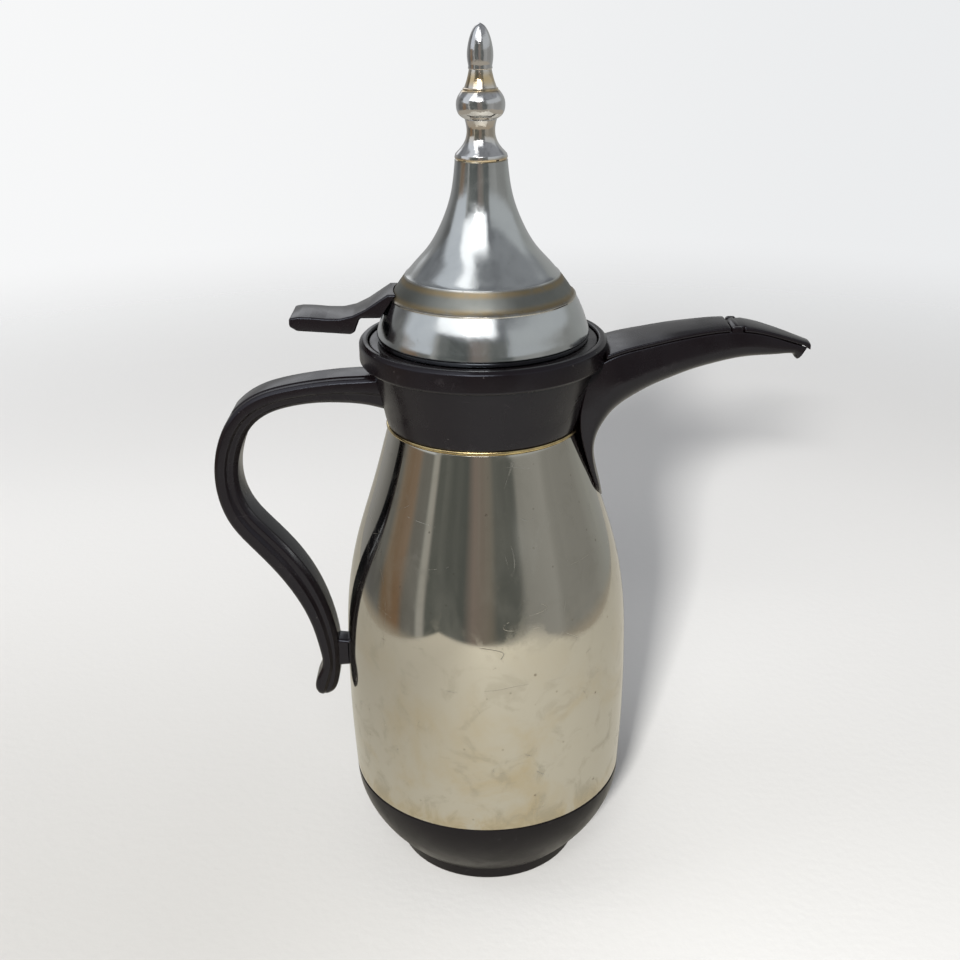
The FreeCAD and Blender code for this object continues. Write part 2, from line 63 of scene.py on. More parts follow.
def spline(points, count):
    """count rows along a smooth curve through the given rows, paced by their first two columns."""
    if len(points) == 2:
        a, b = points
        return [tuple(p + (q - p) * i / (count - 1) for p, q in zip(a, b)) for i in range(count)]
    ts = [0.0]
    for a, b in zip(points, points[1:]):
        ts.append(ts[-1] + math.hypot(b[0] - a[0], b[1] - a[1]))
    columns = list(zip(*points))
    bends = [natural_bends(ts, c) for c in columns]
    rows, k = [], 0
    for i in range(count):
        t = ts[-1] * i / (count - 1)
        while k < len(ts) - 2 and t > ts[k + 1]:
            k += 1
        h = ts[k + 1] - ts[k]
        p, q = (ts[k + 1] - t) / h, (t - ts[k]) / h
        rows.append(tuple(
            p * c[k] + q * c[k + 1] + ((p ** 3 - p) * m[k] + (q ** 3 - q) * m[k + 1]) * h * h / 6
            for c, m in zip(columns, bends)))
    return rows


def fillet(points, arc=5, closed=True):
    """Rounds the corners of a polygon. Points are (x, y) for a plain vertex or (x, y, radius)."""
    out, n = [], len(points)
    for i, p in enumerate(points):
        if len(p) < 3 or (not closed and i in (0, n - 1)):
            out.append((p[0], p[1]))
            continue
        here = Vector(p[:2])
        to_a, to_b = Vector(points[i - 1][:2]) - here, Vector(points[(i + 1) % n][:2]) - here
        la, lb = to_a.length, to_b.length
        ua, ub = to_a / la, to_b / lb
        half = math.acos(max(-1.0, min(1.0, ua.dot(ub)))) / 2
        reach = min(p[2] / max(math.tan(half), 1e-6), 0.49 * la, 0.49 * lb)
        start, end = here + ua * reach, here + ub * reach
        for j in range(arc + 1):
            t = j / arc
            # a conic close to a circle, which stays inside the corner
            w = math.sin(half)
            a, b, c = (1 - t) ** 2, 2 * w * t * (1 - t), t * t
            spot = (start * a + here * b + end * c) / (a + b + c)
            out.append((spot.x, spot.y))
    return out


def moved_in(points, distance):
    """A closed outline moved inwards (outwards if negative) by distance."""
    n = len(points)
    area = sum(points[i][0] * points[(i + 1) % n][1] - points[(i + 1) % n][0] * points[i][1]
               for i in range(n))
    way = 1 if area > 0 else -1
    out = []
    for i in range(n):
        (ax, ay), (bx, by), (cx, cy) = points[i - 1], points[i], points[(i + 1) % n]
        na, nb = Vector((-(by - ay), bx - ax)), Vector((-(cy - by), cx - bx))
        if na.length < 1e-9 or nb.length < 1e-9:
            na = nb = na if na.length > nb.length else nb
        na.normalize()
        nb.normalize()
        mid = na + nb
        if mid.length < 1e-6:
            mid = na.copy()
        mid.normalize()
        step = distance / max(0.5, mid.dot(na))
        out.append((bx + way * mid.x * step, by + way * mid.y * step))
    return out


def circle(x, z, radius, count=40):
    turns = [math.tau * k / count for k in range(count)]
    return [(x + radius * math.cos(a), z + radius * math.sin(a)) for a in turns]


# ---------------------------------------------------------------- solids as (vertices, faces)
def lathe(profile, segments=192):
    """Closed (radius, height) outline turned about the Z axis."""
    verts, faces, rings = [], [], []
    for r, z in profile:
        if r < 1e-6:
            rings.append([len(verts)])
            verts.append((0.0, 0.0, z))
        else:
            rings.append(list(range(len(verts), len(verts) + segments)))
            verts += [(x, y, z) for x, y in circle(0.0, 0.0, r, segments)]
    for a, b in zip(rings, rings[1:] + rings[:1]):
        for k in range(segments):
            m = (k + 1) % segments
            if len(a) == 1 and len(b) == 1:
                break
            if len(a) == 1:
                faces.append((a[0], b[m], b[k]))
            elif len(b) == 1:
                faces.append((a[k], a[m], b[0]))
            else:
                faces.append((a[k], a[m], b[m], b[k]))
    return verts, faces


def skin(rings):
    """Rings of equally many points joined into a closed tube, its two ends capped."""
    verts, faces = [], []
    count = len(rings[0])
    for ring in rings:
        verts += [tuple(p) for p in ring]
    for i in range(len(rings) - 1):
        for k in range(count):
            m = (k + 1) % count
            a, b = i * count, (i + 1) * count
            faces.append((a + k, a + m, b + m, b + k))
    faces.append(tuple(range(count)))
    faces.append(tuple(range((len(rings) - 1) * count, len(rings) * count)))
    return verts, faces


def slab(outline, low, high, edge=0.6, arc=4):
    """An (x, z) outline given thickness along Y, its rims rounded by edge."""
    turns = [math.pi / 2 * j / arc for j in range(arc + 1)]
    start = [(low + edge * (1 - math.sin(a)), edge * (1 - math.cos(a))) for a in turns]
    end = [(high - edge * (1 - math.sin(a)), edge * (1 - math.cos(a))) for a in turns]
    rings = []
    for y, inset in start[::-1] + end:
        flat = moved_in(outline, inset) if inset > 1e-6 else outline
        rings.append([(x, y, z) for x, z in flat])
    return skin(rings)


def rod_y(x, z, radius, low, high, edge=0.25):
    return slab(circle(x, z, radius), low, high, edge, 3)


def together(*parts):
    verts, faces = [], []
    for v, f in parts:
        base = len(verts)
        verts += v
        faces += [tuple(base + i for i in face) for face in f]
    return verts, faces


def mesh_object(name, shape, sharp=34):
    verts, faces = shape
    mesh = bpy.data.meshes.new(name)
    mesh.from_pydata([(x * MM, y * MM, z * MM) for x, y, z in verts], [], faces)
    mesh.update()
    bm = bmesh.new()
    bm.from_mesh(mesh)
    bmesh.ops.remove_doubles(bm, verts=bm.verts, dist=1e-7)
    bmesh.ops.dissolve_degenerate(bm, edges=bm.edges, dist=1e-7)
    bmesh.ops.triangulate(bm, faces=[f for f in bm.faces if len(f.verts) > 4])
    bmesh.ops.recalc_face_normals(bm, faces=bm.faces)
    bm.to_mesh(mesh)
    bm.free()
    mesh.shade_smooth()
    mesh.set_sharp_from_angle(angle=math.radians(sharp))
    obj = bpy.data.objects.new(name, mesh)
    scene.collection.objects.link(obj)
    return obj


def piece(name, shape, node, body, material, sharp=34, cutters=()):
    """A visible piece that stands for a CAD node. Cutters are solids taken out of it."""
    obj = mesh_object(name, shape, sharp)
    tools = []
    for i, cutter in enumerate(cutters):
        tool = mesh_object("tool%d" % i, cutter)
        tools.append(tool)
        cut = obj.modifiers.new("cut%d" % i, "BOOLEAN")
        cut.operation = "DIFFERENCE"
        cut.solver = "EXACT"
        cut.object = tool
    if tools:
        bpy.context.view_layer.update()
        seen = obj.evaluated_get(bpy.context.evaluated_depsgraph_get())
        carved = bpy.data.meshes.new_from_object(seen)
        obj.modifiers.clear()
        obj.data = carved
        carved.shade_smooth()
        carved.set_sharp_from_angle(angle=math.radians(sharp))
        for tool in tools:
            bpy.data.objects.remove(tool)
    obj.data.materials.clear()
    obj.data.materials.append(material)
    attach(obj, body)
    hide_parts(node)


# ---------------------------------------------------------------- shader helpers
def add(tree, kind, inputs=None, **attributes):
    made = tree.nodes.new(kind)
    for key, value in attributes.items():
        setattr(made, key, value)
    for key, value in (inputs or {}).items():
        socket = made.inputs[key]
        if isinstance(value, bpy.types.NodeSocket):
            tree.links.new(value, socket)
        else:
            socket.default_value = value
    return made


def calc(tree, operation, a, b=0.0, c=None):
    made = add(tree, "ShaderNodeMath", {0: a, 1: b}, operation=operation)
    if c is not None:
        made.inputs[2].default_value = c
    return made.outputs[0]


def times(tree, a, b):
    return calc(tree, "MULTIPLY", a, b)


def most(tree, a, b):
    return calc(tree, "MAXIMUM", a, b)


def plus(tree, base, value, share):
    """base with a share of value on top."""
    return calc(tree, "ADD", base, times(tree, value, share))


def span(tree, value, low, high, out_low=0.0, out_high=1.0):
    """value mapped smoothly from low..high to out_low..out_high, held at the ends."""
    made = add(tree, "ShaderNodeMapRange", {
        "Value": value, "From Min": low, "From Max": high, "To Min": out_low, "To Max": out_high},
        interpolation_type="SMOOTHSTEP", clamp=True)
    return made.outputs["Result"]


def tint(tree, share, a, b):
    """Colour a, turning into b where share is 1."""
    made = add(tree, "ShaderNodeMix", data_type="RGBA")
    for index, value in ((0, share), (6, a), (7, b)):
        if isinstance(value, bpy.types.NodeSocket):
            tree.links.new(value, made.inputs[index])
        elif index == 0:
            made.inputs[0].default_value = value
        else:
            made.inputs[index].default_value = (*value, 1.0)
    return made.outputs[2]


def noise(tree, place, scale, detail=4.0, rough=0.55, stretch=None, shift=0.0, warp=0.0):
    """Noise with scale features to the metre. stretch below 1 draws it out along an axis."""
    if stretch:
        start = (shift, shift * 0.7, shift * 1.3)
        mapping = {"Vector": place, "Scale": stretch, "Location": start}
        place = add(tree, "ShaderNodeMapping", mapping).outputs[0]
    made = add(tree, "ShaderNodeTexNoise", {
        "Vector": place, "Scale": scale, "Detail": detail, "Roughness": rough,
        "Distortion": warp})
    return made.outputs["Fac"]


def ridge(tree, value, centre, width):
    """1 at centre, falling to 0 at width away from it."""
    away = calc(tree, "ABSOLUTE", calc(tree, "SUBTRACT", value, centre))
    return span(tree, away, width, 0.0)


def between(tree, value, start, full, fade, end):
    """1 from full to fade, falling to 0 at start and at end."""
    return times(tree, span(tree, value, start, full), span(tree, value, end, fade))


def fresh(name):
    """A new material: its tree, its shader, and object coordinates in metres."""
    material = bpy.data.materials.new(name)
    material.use_nodes = True
    tree = material.node_tree
    tree.nodes.clear()
    shader = add(tree, "ShaderNodeBsdfPrincipled")
    add(tree, "ShaderNodeOutputMaterial", {"Surface": shader.outputs[0]})
    place = add(tree, "ShaderNodeTexCoord").outputs["Object"]
    return material, tree, shader, place


def bump(tree, shader, height, distance):
    made = add(tree, "ShaderNodeBump", {"Height": height, "Distance": distance, "Strength": 1.0})
    tree.links.new(made.outputs[0], shader.inputs["Normal"])


def height_of(tree, place):
    return add(tree, "ShaderNodeSeparateXYZ", {"Vector": place}).outputs["Z"]


def specks(tree, place, scale, size, share):
    """Small scattered dots: size is the dot's share of a cell, share how many cells have one."""
    cells = add(tree, "ShaderNodeTexVoronoi", {"Vector": place, "Scale": scale})
    chance = add(tree, "ShaderNodeSeparateColor", {"Color": cells.outputs["Color"]}).outputs[0]
    dot = span(tree, cells.outputs["Distance"], size, size * 0.45)
    return times(tree, dot, calc(tree, "LESS_THAN", chance, share))


def steel_material():
    """Polished steel: broad waves, wiped smears, tarnish and dirt low down, a few scratches."""
    material, tree, shader, place = fresh("Steel")
    z = height_of(tree, place)
    broad = noise(tree, place, 24.0, 5.0, 0.6, warp=0.6)
    blotch = noise(tree, place, 85.0, 5.0, 0.62, warp=0.8)
    wipe = noise(tree, place, 60.0, 3.0, 0.5, stretch=(1.0, 1.0, 0.16), shift=0.4)
    long_lines = noise(tree, place, 26.0, 2.0, 0.4, stretch=(1.0, 1.0, 0.5), shift=3.1, warp=0.3)
    flat_lines = noise(tree, place, 34.0, 2.0, 0.4, stretch=(0.4, 0.4, 1.4), shift=7.7)
    lines = most(tree, ridge(tree, long_lines, 0.52, 0.0028), ridge(tree, flat_lines, 0.47, 0.0022))
    marks = times(tree, lines, span(tree, blotch, 0.5, 0.62))
    cloth = noise(tree, place, 38.0, 6.0, 0.66, stretch=(1.0, 1.0, 0.8), shift=5.2, warp=1.1)
    smear = span(tree, cloth, 0.50, 0.66)
    dots = most(tree, times(tree, specks(tree, place, 160.0, 0.13, 0.09), 0.8),
                times(tree, specks(tree, place, 330.0, 0.2, 0.05), 0.5))
    low = span(tree, z, 0.150, 0.050)
    hem = span(tree, z, 0.052, 0.0405)
    stain = times(tree, span(tree, blotch, 0.49, 0.68), calc(tree, "MULTIPLY_ADD", low, 0.7, 0.25))
    tarnish = most(tree, times(tree, span(tree, broad, 0.45, 0.72), low),
                   times(tree, hem, span(tree, blotch, 0.36, 0.6)))
    colour = tint(tree, times(tree, broad, 0.5), (0.640, 0.615, 0.545), (0.575, 0.550, 0.475))
    colour = tint(tree, times(tree, tarnish, 0.6), colour, (0.56, 0.45, 0.25))
    colour = tint(tree, times(tree, stain, 0.55), colour, (0.42, 0.40, 0.33))
    colour = tint(tree, times(tree, dots, 0.7), colour, (0.20, 0.16, 0.11))
    colour = tint(tree, times(tree, marks, 0.35), colour, (0.30, 0.29, 0.27))
    tree.links.new(colour, shader.inputs["Base Color"])
    rough = calc(tree, "MULTIPLY_ADD", broad, 0.05, 0.035)
    rough = plus(tree, rough, stain, 0.09)
    rough = plus(tree, rough, smear, 0.11)
    rough = plus(tree, rough, span(tree, wipe, 0.5, 0.75), 0.05)
    rough = plus(tree, rough, most(tree, dots, marks), 0.25)
    tree.links.new(rough, shader.inputs["Roughness"])
    shader.inputs["Metallic"].default_value = 1.0
    wave = noise(tree, place, 15.0, 1.2, 0.4)
    bump(tree, shader, calc(tree, "SUBTRACT", wave, times(tree, marks, 0.02)), 0.0007)
    return material


def chrome_material():
    """Worn satin chrome of the dome, rubbed to a brassy tone along its ridges."""
    material, tree, shader, place = fresh("DomeChrome")
    z = height_of(tree, place)
    haze = noise(tree, place, 70.0, 6.0, 0.62, warp=0.5)
    cloud = noise(tree, place, 24.0, 4.0, 0.55)
    grain = noise(tree, place, 1100.0, 2.0)
    worn = noise(tree, place, 260.0, 5.0, 0.65)
    brush = noise(tree, place, 300.0, 3.0, 0.6, stretch=(1.0, 1.0, 0.05), shift=1.7)
    ridge_low = ridge(tree, z, 0.2487, 0.0021)
    ridge_high = ridge(tree, z, 0.2546, 0.0018)
    band = between(tree, z, 0.2480, 0.2488, 0.2552, 0.2560)
    rubbed = times(tree, most(tree, ridge_low, ridge_high), span(tree, worn, 0.28, 0.54, 0.5, 1.0))
    colour = tint(tree, haze, (0.54, 0.56, 0.57), (0.74, 0.76, 0.75))
    colour = tint(tree, times(tree, band, span(tree, cloud, 0.3, 0.7, 0.75, 1.0)), colour,
                  (0.195, 0.20, 0.18))
    colour = tint(tree, times(tree, rubbed, 0.7), colour, (0.36, 0.265, 0.13))
    pits = specks(tree, place, 420.0, 0.18, 0.05)
    colour = tint(tree, times(tree, pits, 0.35), colour, (0.14, 0.12, 0.11))
    tree.links.new(colour, shader.inputs["Base Color"])
    rough = calc(tree, "MULTIPLY_ADD", span(tree, haze, 0.34, 0.72), 0.13, 0.075)
    rough = plus(tree, rough, brush, 0.05)
    rough = plus(tree, rough, band, 0.30)
    tree.links.new(rough, shader.inputs["Roughness"])
    shader.inputs["Metallic"].default_value = 1.0
    bump(tree, shader, plus(tree, plus(tree, cloud, grain, 0.02), worn, 0.03), 0.0004)
    return material


def finial_material():
    """Bright chrome, gold where it is worn: the waist, the neck and the two creases."""
    material, tree, shader, place = fresh("FinialChrome")
    z = height_of(tree, place)
    cloud = noise(tree, place, 120.0, 5.0, 0.6)
    worn = noise(tree, place, 420.0, 4.0, 0.62)
    waist = ridge(tree, z, 0.3270, 0.0045)
    ring = ridge(tree, z, 0.3232, 0.0014)
    neck = ridge(tree, z, 0.3085, 0.0050)
    base = ridge(tree, z, 0.2988, 0.0014)
    gold = most(tree, most(tree, waist, ring), most(tree, times(tree, neck, 0.6), base))
    gold = times(tree, gold, span(tree, cloud, 0.30, 0.62, 0.35, 1.0))
    colour = tint(tree, cloud, (0.70, 0.70, 0.71), (0.82, 0.82, 0.82))
    colour = tint(tree, times(tree, gold, 0.85), colour, (0.72, 0.53, 0.26))
    tree.links.new(colour, shader.inputs["Base Color"])
    rough = calc(tree, "MULTIPLY_ADD", span(tree, worn, 0.4, 0.75), 0.10, 0.05)
    tree.links.new(rough, shader.inputs["Roughness"])
    shader.inputs["Metallic"].default_value = 1.0
    bump(tree, shader, plus(tree, cloud, worn, 0.12), 0.0002)
    return material


def brass_material():
    material, tree, shader, place = fresh("BrassTrim")
    worn = noise(tree, place, 160.0, 5.0, 0.6)
    grain = noise(tree, place, 800.0, 2.0)
    colour = tint(tree, span(tree, worn, 0.35, 0.7), (0.70, 0.56, 0.28), (0.46, 0.35, 0.18))
    tree.links.new(colour, shader.inputs["Base Color"])
    tree.links.new(calc(tree, "MULTIPLY_ADD", worn, 0.22, 0.10), shader.inputs["Roughness"])
    shader.inputs["Metallic"].default_value = 1.0
    bump(tree, shader, plus(tree, worn, grain, 0.2), 0.0001)
    return material


def plastic_material(name, dark, light, gloss, dull, scuffed=0.35, shine=(0.78, 0.86, 1.0),
                     ior=1.45):
    """Moulded plastic: smudges change the gloss, scuffs lighten it, the moulding waves a little."""
    material, tree, shader, place = fresh(name)
    smudge = noise(tree, place, 46.0, 5.0, 0.6, warp=0.5)
    cloud = noise(tree, place, 18.0, 3.0)
    grain = noise(tree, place, 1300.0, 2.0)
    wear = noise(tree, place, 170.0, 6.0, 0.68)
    scuffs = times(tree, span(tree, wear, 0.60, 0.74), span(tree, smudge, 0.44, 0.62))
    paths = noise(tree, place, 40.0, 2.0, 0.4, stretch=(0.7, 1.0, 0.7), shift=2.3)
    lines = times(tree, ridge(tree, paths, 0.5, 0.0025), span(tree, wear, 0.5, 0.62))
    dust = specks(tree, place, 520.0, 0.14, 0.03)
    colour = tint(tree, cloud, dark, light)
    pale = tuple(min(1.0, 2.6 * c + 0.02) for c in light)
    colour = tint(tree, times(tree, most(tree, scuffs, lines), scuffed), colour, pale)
    colour = tint(tree, times(tree, dust, 0.2), colour, (0.30, 0.28, 0.26))
    tree.links.new(colour, shader.inputs["Base Color"])
    rough = span(tree, smudge, 0.36, 0.66, gloss, dull)
    rough = plus(tree, rough, scuffs, 0.22 * scuffed / 0.35)
    tree.links.new(rough, shader.inputs["Roughness"])
    bump(tree, shader, plus(tree, plus(tree, cloud, grain, 0.03), scuffs, -0.05), 0.0005)
    shader.inputs["IOR"].default_value = ior
    shader.inputs["Specular Tint"].default_value = (*shine, 1.0)
    return material


def plain_metal_material(name, bright, dim, gloss, dull):
    material, tree, shader, place = fresh(name)
    cloud = noise(tree, place, 220.0, 4.0)
    grain = noise(tree, place, 1400.0, 2.0)
    tree.links.new(tint(tree, cloud, bright, dim), shader.inputs["Base Color"])
    tree.links.new(span(tree, cloud, 0.3, 0.7, gloss, dull), shader.inputs["Roughness"])
    shader.inputs["Metallic"].default_value = 1.0
    bump(tree, shader, grain, 0.00003)
    return material


def rubber_material():
    material, tree, shader, place = fresh("Rubber")
    cloud = noise(tree, place, 90.0, 4.0)
    grain = noise(tree, place, 1500.0, 3.0)
    colour = tint(tree, cloud, (0.030, 0.030, 0.031), (0.060, 0.059, 0.058))
    tree.links.new(colour, shader.inputs["Base Color"])
    tree.links.new(span(tree, cloud, 0.3, 0.7, 0.55, 0.75), shader.inputs["Roughness"])
    bump(tree, shader, grain, 0.00008)
    return material


steel = steel_material()
dome_chrome = chrome_material()
finial_chrome = finial_material()
brass = brass_material()
plastic = plastic_material(
    "DarkPlastic", (0.0030, 0.0020, 0.0024), (0.0052, 0.0032, 0.0038), 0.15, 0.30)
base_plastic = plastic_material(
    "BasePlastic", (0.0050, 0.0042, 0.0044), (0.0095, 0.0082, 0.0082), 0.28, 0.42,
    shine=(0.46, 0.50, 0.58), ior=1.28)
inner_plastic = plastic_material(
    "InnerPlastic", (0.42, 0.40, 0.37), (0.55, 0.53, 0.50), 0.34, 0.50, scuffed=0.15)
screw_metal = plain_metal_material(
    "ScrewSteel", (0.62, 0.62, 0.61), (0.45, 0.45, 0.44), 0.22, 0.38)
silver = plain_metal_material(
    "SilveredGlass", (0.88, 0.88, 0.90), (0.80, 0.80, 0.84), 0.04, 0.12)
rubber = rubber_material()

# ---------------------------------------------------------------- outlines, (radius, height)
BODY = [(57.6, 39.4), (58.8, 65.5), (59.0, 92.0), (58.0, 117.5), (53.6, 143.5), (45.6, 169.5),
        (38.2, 195.6)]
COLLAR = [(38.4, 197.0), (39.1, 199.8), (40.1, 204.8), (41.9, 212.0), (44.6, 222.4)]
BOWL = [(40.0, 229.7), (41.2, 232.6), (40.6, 235.6), (38.7, 241.2), (35.8, 247.4)]
BAND = [(35.0, 248.2), (32.8, 251.6), (30.2, 255.1)]
CONE = [(29.0, 256.4), (26.0, 259.9), (21.3, 265.1), (15.8, 274.2), (11.5, 286.2), (9.9, 297.4)]
FOOT_H = 5.5
CUP_R = 40.0              # radius of the cup where it meets the foot ring
CUP_ROUNDNESS = 1.9
CUP_WALL = 2.4
JOINT_Z, JOINT_R = BODY[0][1], BODY[0][0]      # where steel meets the cup
STEEL = 0.9               # wall of the body shell
DOME_WALL = 1.5
PIVOT = (-30.5, 243.5)    # the lever's pin
FLAP_PIVOT = (97.5, 233.3)


def cup_radius(z):
    t = (z - FOOT_H) / (JOINT_Z - FOOT_H)
    return CUP_R + (JOINT_R - CUP_R) * (1 - (1 - t) ** CUP_ROUNDNESS)


def wider(points, dr, dz=0.0):
    return [(r + dr, z + dz) for r, z in points]


# ---- base
foot = fillet([(33.0, 0.0, 0.4), (38.6, 0.0, 0.7), (39.1, 0.8, 0.5), (39.7, 5.6), (33.0, 5.6)])
piece("foot_ring.look", lathe(foot), "foot_ring", "pot", base_plastic)

CUP_STEPS = 40
cup_levels = [FOOT_H + (JOINT_Z - FOOT_H) * i / CUP_STEPS for i in range(CUP_STEPS + 1)]
cup_outer = [(cup_radius(z), z) for z in cup_levels]
cup_inner = [(r, z) for r, z in wider(cup_outer, -CUP_WALL) if z > 8.0][::-1]
cup = fillet([(39.2, FOOT_H)] + cup_outer[:-1] + [
    (JOINT_R, JOINT_Z - 0.3, 0.3), (JOINT_R - 0.6, JOINT_Z, 0.2), (56.6, JOINT_Z),
    (56.6, 45.4, 0.4), (55.2, 45.4, 0.4)] + cup_inner + [(27.3, 7.9, 0.3), (27.3, FOOT_H, 0.3)])
piece("base_cup.look", lathe(cup), "base_cup", "pot", base_plastic)

# ---- steel body: rolled in a little at both ends
side = spline(BODY, 120)
inner_side = wider(side, -STEEL)[::-1]
shell = fillet([(56.75, 39.5, 0.3), (57.35, 39.5, 0.35)] + side[1:-1]
               + [(38.2, 195.4, 0.25), (37.4, 195.4, 0.2)] + inner_side[1:-1])
piece("body_shell.look", lathe(shell, 256), "body_shell", "pot", steel)

# ---- brass trim under the collar
trim = [(37.3, 195.6), (38.3, 195.5), (38.75, 195.75), (38.98, 196.2), (38.95, 196.5),
        (38.7, 196.9), (38.3, 197.0), (37.3, 197.0)]
piece("neck_trim_ring.look", lathe(trim), "neck_trim_ring", "pot", brass)

# ---- collar and rim
collar = fillet(
    [(38.2, 196.95, 0.25)] + spline(COLLAR, 40)[1:-1]
    + [(44.6, 222.4, 0.5), (47.7, 222.4, 0.7), (48.3, 223.4, 0.6), (48.3, 230.0, 1.3),
       (47.0, 231.2, 1.0), (44.9, 231.2, 0.7), (44.9, 223.8, 0.3), (41.6, 223.8, 0.3),
       (38.8, 212.0, 0.4), (25.6, 212.0, 0.4), (25.6, 209.3), (33.2, 209.3),
       (33.2, 188.0, 0.3), (36.6, 188.0, 0.3), (36.6, 196.95)], 6)
window = slab([(30.0, 213.5), (60.0, 213.5), (60.0, 221.0), (30.0, 221.0)], -8.0, 8.0)
piece("collar.look", lathe(collar), "collar", "pot", plastic, cutters=[window])

# ---- handle
# Centre x, centre z, half thickness, half width, from the collar down to the lower curl.
HANDLE = [
    (-39.6, 210.1, 7.0, 9.4), (-44, 210.6, 6.1, 9.4), (-54, 211.0, 5.2, 9.2),
    (-66, 210.4, 4.6, 9.0), (-78, 208.5, 4.4, 9.0), (-87.6, 205.3, 4.5, 9.0),
    (-95.6, 199.2, 4.6, 9.0), (-100.8, 190.3, 4.7, 9.0), (-103.5, 180.0, 4.7, 9.0),
    (-103.3, 168.6, 4.8, 9.0), (-99.4, 157.4, 5.2, 9.0), (-91.5, 147.0, 5.5, 8.8),
    (-82.8, 136.3, 5.6, 8.6), (-75.0, 123.4, 5.3, 8.2), (-69.5, 108.9, 4.7, 7.8),
    (-66.9, 95.1, 4.2, 7.4), (-66.8, 86.0, 3.9, 7.2), (-69.2, 77.5, 4.7, 7.0),
    (-71.0, 71.3, 3.4, 6.6),
]
STRIP_END = 0.30      # share of the handle's length where the raised top strip stops
STRIP_H = 0.5
ROOT_LENGTH = 9.0     # the part at the collar whose sections turn to lie against it
ROOT_LEAN = -0.23


def handle_ring(thick, width, strip):
    """Section as (across, outward): a broad outer rib over a narrower inner one, strip on top."""
    half = [
        (width - 3.4, thick + strip, 0.25), (width - 2.6, thick, 0.3),
        (width - 1.0, thick - 0.25, 0.9), (width, thick - 1.5, 0.9), (width, thick * 0.08, 0.5),
        (width - 0.9, -thick * 0.10, 0.4), (width - 1.3, -thick * 0.22, 0.4),
        (width - 1.3, 2.0 - thick, 1.2), (width - 3.2, -thick, 1.2),
    ]
    return fillet(half + [(-w, t, r) for w, t, r in half[::-1]], 3)


def handle_shape():
    """Sections along the handle. The last ones shrink, so that the curl ends round."""
    rows = spline(HANDLE, 150)
    rings, length = [], [0.0]
    for a, b in zip(rows, rows[1:]):
        length.append(length[-1] + math.hypot(b[0] - a[0], b[1] - a[1]))
    total = length[-1]
    for i, (x, z, thick, width) in enumerate(rows):
        a, b = rows[max(i - 1, 0)], rows[min(i + 1, len(rows) - 1)]
        way = Vector((a[0] - b[0], a[1] - b[1])).normalized()
        out = Vector((-way.y, way.x))
        root = max(0.0, 1.0 - length[i] / ROOT_LENGTH)
        out = (out + Vector((ROOT_LEAN, 0.0)) * root).normalized()
        strip = STRIP_H if length[i] / total < STRIP_END else 0.0
        left = total - length[i]
        close = min(1.0, left / (1.15 * thick))
        shrink = math.sqrt(max(0.02, 1 - (1 - close) ** 2.4))
        ring = handle_ring(thick, width, strip)
        rings.append([(x + out.x * t * shrink, w * (0.45 + 0.55 * shrink), z + out.y * t * shrink)
                      for w, t in ring])
    return skin(rings)


# The nub that rests against the steel.
nub = slab(fillet([(-66.0, 85.6, 1.6), (-57.9, 86.2, 0.5), (-57.9, 98.0, 0.5), (-66.0, 98.8, 1.6)]),
           -4.5, 4.5, 1.3)
piece("handle.look", together(handle_shape(), nub), "handle", "pot", plastic,
      sharp=50)

# ---- spout
# Back x, back z, keel x, keel z, half width, channel depth. It runs from the tail's tip on the
# steel, up the collar, and out along the spout.
SPOUT = [
    (46.4, 163.6, 48.0, 163.6, 1.2, 0.2), (44.9, 169.0, 47.0, 169.0, 8.0, 0.2),
    (43.0, 175.0, 45.5, 175.0, 10.4, 0.2), (41.2, 181.0, 44.3, 181.0, 12.0, 0.2),
    (39.4, 187.5, 43.9, 187.0, 13.3, 0.2), (37.8, 195.0, 45.4, 193.2, 14.0, 0.3),
    (37.6, 204.0, 48.8, 198.9, 14.4, 0.4), (39.3, 213.0, 52.6, 203.1, 14.8, 1.0),
    (41.2, 219.5, 57.0, 206.3, 15.0, 5.0), (45.5, 223.6, 61.6, 209.1, 14.9, 8.0),
    (53.0, 226.8, 67.3, 212.0, 14.0, 10.5), (63.0, 229.0, 74.4, 214.9, 12.8, 11.5),
    (73.0, 231.0, 81.5, 217.5, 11.6, 11.0), (83.0, 232.5, 88.5, 219.4, 10.3, 9.5),
    (94.0, 233.5, 97.0, 221.3, 9.0, 8.2), (104.0, 232.7, 105.0, 222.3, 7.8, 7.4),
    (114.0, 230.0, 114.0, 222.7, 6.2, 5.2), (119.5, 227.9, 118.9, 223.0, 5.1, 3.3),
    (122.2, 227.0, 121.0, 222.6, 4.6, 2.4), (124.4, 226.2, 121.9, 221.2, 4.1, 1.7),
    (125.8, 225.6, 122.7, 220.5, 3.8, 1.4),
]


KEEL_SHARE = 0.52         # share of a section's depth that is rounded
SIDE_POWER, KEEL_POWER, CHANNEL_POWER = 0.86, 0.92, 0.8      # 1 is an ellipse, less is squarer
KEEL_STEPS, CHANNEL_STEPS = 24, 12


